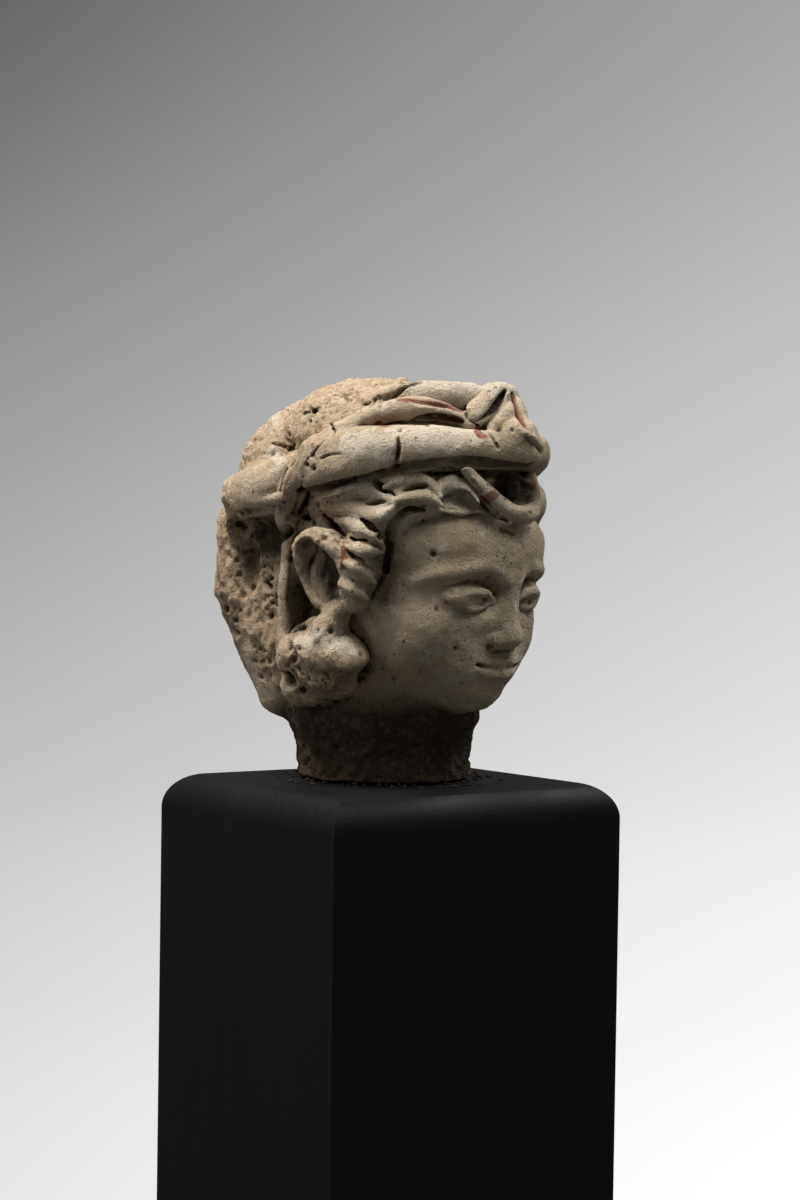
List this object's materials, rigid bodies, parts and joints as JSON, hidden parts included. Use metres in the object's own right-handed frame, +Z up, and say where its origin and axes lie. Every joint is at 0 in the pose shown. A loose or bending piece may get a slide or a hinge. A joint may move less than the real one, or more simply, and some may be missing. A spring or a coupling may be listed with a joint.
{
  "type": "bodhisattva head",
  "caption": "Small weathered stucco head of a bodhisattva in a rolled turban, with long ears and earrings, standing on a tall black display block.",
  "frame": {"origin": "centre of the display block's underside", "axes": "+Z up; the block's front faces -Y, and the head on it is turned about 12 degrees to its own left, towards +X"},
  "size_m": [0.052, 0.0543, 0.1607],
  "materials": {
    "stucco": "weathered lime stucco, matt, with worn white slip and brick-red lines",
    "black_paint": "matt black paint over fine-grained wood"
  },
  "bodies": {
    "root": {"head": "stucco", "display_block": "black_paint"}
  },
  "joints": []
}
